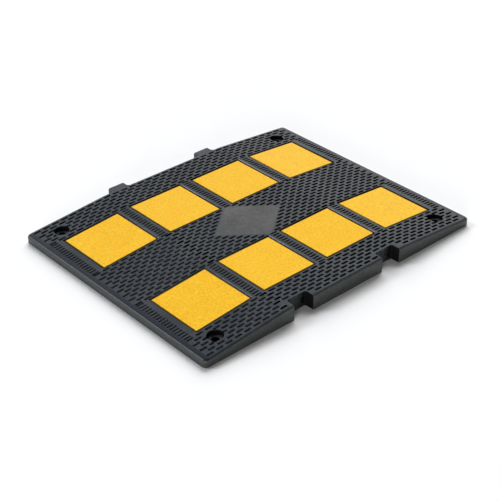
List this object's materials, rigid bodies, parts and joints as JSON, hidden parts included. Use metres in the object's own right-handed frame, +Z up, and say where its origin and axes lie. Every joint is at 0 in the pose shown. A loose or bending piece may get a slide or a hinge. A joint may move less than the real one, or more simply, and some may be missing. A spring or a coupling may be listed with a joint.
{
  "type": "speed bump",
  "caption": "Low modular rubber speed bump with ramped ends, a slotted tread, inlaid yellow reflective panels, counterbored anchor holes, and tabs and notches that join the next module.",
  "frame": {"origin": "the middle of the underside, on the road, at the centre of the anchor holes", "axes": "+X along the road, the way traffic crosses the bump; +Y across the road, towards the tabs; +Z up"},
  "size_m": [0.6, 0.485, 0.028],
  "materials": {
    "rubber": "dull moulded rubber with a fine granular grain",
    "reflective_panel": "yellow reflective sheet with a fine beaded grain"
  },
  "bodies": {
    "root": {"rubber_body": "rubber", "reflective_panel_front_1": "reflective_panel", "reflective_panel_front_2": "reflective_panel", "reflective_panel_front_3": "reflective_panel", "reflective_panel_front_4": "reflective_panel", "reflective_panel_rear_1": "reflective_panel", "reflective_panel_rear_2": "reflective_panel", "reflective_panel_rear_3": "reflective_panel", "reflective_panel_rear_4": "reflective_panel"}
  },
  "joints": []
}
